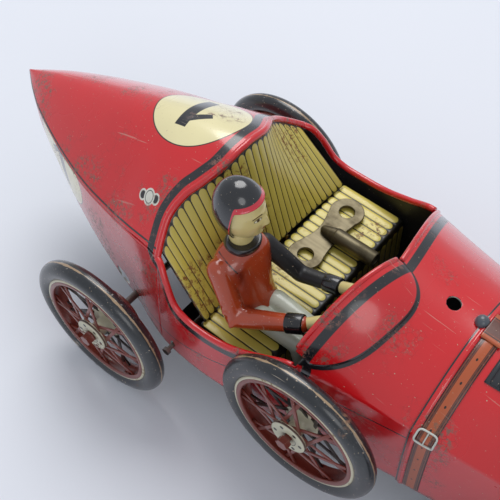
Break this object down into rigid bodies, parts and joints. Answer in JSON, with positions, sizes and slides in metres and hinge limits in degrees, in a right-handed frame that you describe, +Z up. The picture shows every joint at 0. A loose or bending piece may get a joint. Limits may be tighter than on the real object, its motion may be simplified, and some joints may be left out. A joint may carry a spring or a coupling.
{
  "type": "tin wind-up racing car",
  "caption": "Tinplate clockwork racing car with pointed tail, seated driver, lattice-spoked wheels, side-mounted spare wheel, gear train, linked steering and a loose winding key.",
  "frame": {"origin": "on the floor under the middle of the car's bounding box", "axes": "+X forward (tail to radiator), +Y to the car's left, +Z up"},
  "size_m": [0.434, 0.182, 0.1453],
  "materials": {
    "red_tin": "glossy red litho print on tinplate, crazed and rust-speckled",
    "black_tin": "black litho print on tinplate",
    "seat_tin": "yellow litho pleats with black outlines",
    "strap_tin": "brown leather-look litho print with stitched edges",
    "bright_tin": "nickelled tinplate",
    "gunmetal": "dark grey lacquer",
    "core_tin": "dark honeycomb print",
    "jacket_tin": "red-brown litho jacket",
    "face_tin": "cream litho face",
    "helmet_tin": "black litho helmet",
    "trouser_tin": "pale grey litho trousers",
    "tyre_tin": "black litho tyre pressed from tinplate",
    "wheel_tin": "red-brown painted spokes and rim",
    "axle_steel": "plain steel",
    "brass": "stamped brass",
    "spring_steel": "blued spring steel",
    "key_metal": "old dull plated steel key"
  },
  "bodies": {
    "chassis": {"tail_side_right": "red_tin", "tail_side_left": "red_tin", "tail_deck": "red_tin", "cockpit_side_right": "red_tin", "cockpit_side_left": "red_tin", "scuttle": "red_tin", "driver_cowl": "red_tin", "bonnet": "red_tin", "hinge_dome": "gunmetal", "bonnet_strap": "strap_tin", "strap_buckle": "bright_tin", "louvre_panels": "black_tin", "radiator_shell": "bright_tin", "radiator_core": "core_tin", "floor_pan": "black_tin", "dashboard": "black_tin", "bulkhead": "black_tin", "seat_back": "seat_tin", "seat_bench": "seat_tin", "driver_torso": "jacket_tin", "driver_head": "face_tin", "driver_helmet": "helmet_tin", "driver_arm_right": "jacket_tin", "driver_arm_left": "jacket_tin", "driver_legs": "trouser_tin", "spare_bracket": "wheel_tin", "plate_right": "bright_tin", "plate_left": "bright_tin", "mainspring": "spring_steel", "front_beam": "wheel_tin", "leaf_springs": "spring_steel"},
    "rear_axle": {"tyre_rear_right": "tyre_tin", "wheel_rear_right": "wheel_tin", "tyre_rear_left": "tyre_tin", "wheel_rear_left": "wheel_tin", "drums_rear": "wheel_tin", "nuts_rear": "wheel_tin", "rear_axle": "axle_steel", "axle_gear": "brass"},
    "train_arbor_1": {"train_arbor_1": "brass"},
    "train_arbor_2": {"train_arbor_2": "brass"},
    "great_wheel": {"great_wheel": "brass"},
    "winding_arbor": {"winding_arbor": "axle_steel"},
    "click": {"click": "axle_steel"},
    "brake_lever": {"brake_lever": "axle_steel"},
    "stub_right": {"stub_right": "wheel_tin"},
    "stub_left": {"stub_left": "wheel_tin"},
    "tie_rod": {"tie_rod": "axle_steel"},
    "steering": {"steering_wheel": "black_tin", "steering_column": "axle_steel"},
    "wheel_front_right": {"tyre_front_right": "tyre_tin", "wheel_front_right": "wheel_tin"},
    "wheel_front_left": {"tyre_front_left": "tyre_tin", "wheel_front_left": "wheel_tin"},
    "spare_wheel": {"tyre_spare": "tyre_tin", "wheel_spare": "wheel_tin"},
    "key": {"key_bow": "key_metal", "key_tube": "key_metal"}
  },
  "joints": [
    {"name": "rear_wheels_spin", "type": "hinge", "parent": "chassis", "child": "rear_axle", "pos_m": [-0.089, 0, 0.044], "axis": [0, 1, 0], "continuous": true},
    {"name": "train_2_spin", "type": "hinge", "parent": "chassis", "child": "train_arbor_2", "pos_m": [-0.0623, 0, 0.0618], "axis": [0, 1, 0], "continuous": true},
    {"name": "train_1_spin", "type": "hinge", "parent": "chassis", "child": "train_arbor_1", "pos_m": [-0.04, 0, 0.0589], "axis": [0, 1, 0], "continuous": true},
    {"name": "great_wheel_spin", "type": "hinge", "parent": "chassis", "child": "great_wheel", "pos_m": [-0.01753, 0, 0.0579], "axis": [0, 1, 0], "continuous": true},
    {"name": "winding", "type": "hinge", "parent": "great_wheel", "child": "winding_arbor", "pos_m": [-0.01753, 0, 0.0579], "axis": [0, 1, 0], "continuous": true},
    {"name": "click_lift", "type": "hinge", "parent": "great_wheel", "child": "click", "pos_m": [-0.02673, 0, 0.0671], "axis": [0, -1, 0], "range_deg": [0, 10], "stiffness_Nm_per_rad": 0.001, "springref_deg": -2.86},
    {"name": "brake", "type": "hinge", "parent": "chassis", "child": "brake_lever", "pos_m": [-0.077, 0, 0.05], "axis": [0, 1, 0], "range_deg": [-3, 4]},
    {"name": "steer_right", "type": "hinge", "parent": "chassis", "child": "stub_right", "pos_m": [0.173, -0.068, 0.044], "axis": [0, 0, 1], "range_deg": [-20, 20]},
    {"name": "steer_left", "type": "hinge", "parent": "chassis", "child": "stub_left", "pos_m": [0.173, 0.068, 0.044], "axis": [0, 0, 1], "range_deg": [-20, 20]},
    {"name": "tie_rod_swing", "type": "hinge", "parent": "stub_left", "child": "tie_rod", "pos_m": [0.161, 0.068, 0.0376], "axis": [0, 0, 1], "range_deg": [-20, 20]},
    {"name": "steering_wheel_turn", "type": "hinge", "parent": "chassis", "child": "steering", "pos_m": [0.023, -0.0215, 0.094], "axis": [0.9556, 0, -0.2945], "range_deg": [-24, 24]},
    {"name": "front_right_spin", "type": "hinge", "parent": "stub_right", "child": "wheel_front_right", "pos_m": [0.173, -0.079, 0.044], "axis": [0, 1, 0], "continuous": true},
    {"name": "front_left_spin", "type": "hinge", "parent": "stub_left", "child": "wheel_front_left", "pos_m": [0.173, 0.079, 0.044], "axis": [0, 1, 0], "continuous": true},
    {"name": "spare_spin", "type": "hinge", "parent": "chassis", "child": "spare_wheel", "pos_m": [0.034, -0.0688, 0.07], "axis": [0, 1, 0], "continuous": true},
    {"name": "key_lift", "type": "slide", "parent": "chassis", "child": "key", "axis": [0, 0, 1], "range_m": [0, 0.04]}
  ],
  "couplings": [
    {"joint": "train_2_spin", "follows": "rear_wheels_spin", "ratio": -0.81818},
    {"joint": "train_1_spin", "follows": "rear_wheels_spin", "ratio": 0.22314},
    {"joint": "great_wheel_spin", "follows": "rear_wheels_spin", "ratio": -0.060856},
    {"joint": "steer_left", "follows": "steer_right", "ratio": 1},
    {"joint": "tie_rod_swing", "follows": "steer_right", "ratio": -1},
    {"joint": "steering_wheel_turn", "follows": "steer_right", "ratio": -1.2}
  ]
}
